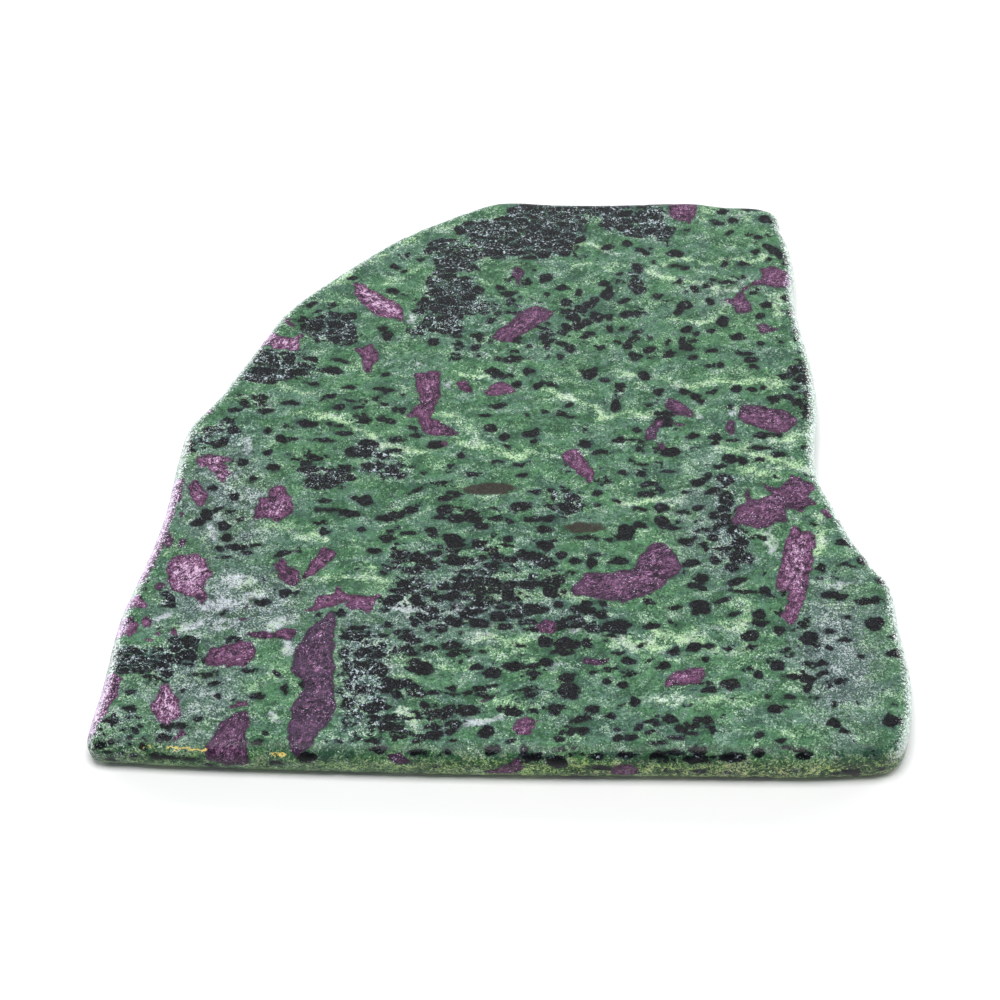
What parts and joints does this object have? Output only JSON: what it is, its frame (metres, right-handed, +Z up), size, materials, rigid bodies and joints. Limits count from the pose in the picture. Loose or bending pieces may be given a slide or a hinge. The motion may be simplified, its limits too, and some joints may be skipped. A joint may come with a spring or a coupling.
{
  "type": "ruby in zoisite slab",
  "caption": "Sawn, tumble-polished slice of green zoisite rock with ruby crystals and black hornblende, lying flat; quarter-circle outline with rounded edges.",
  "frame": {"origin": "middle of the bounding box in plan, on the flat underside", "axes": "+X along the straight front towards the thick end, +Y from the straight front to the short back, +Z up through the slab"},
  "size_m": [0.1518, 0.1458, 0.0089],
  "materials": {
    "ruby_zoisite": "satin polished rock, green with black spots and purple-red ruby"
  },
  "bodies": {
    "root": {"ruby_zoisite_slab": "ruby_zoisite"}
  },
  "joints": []
}
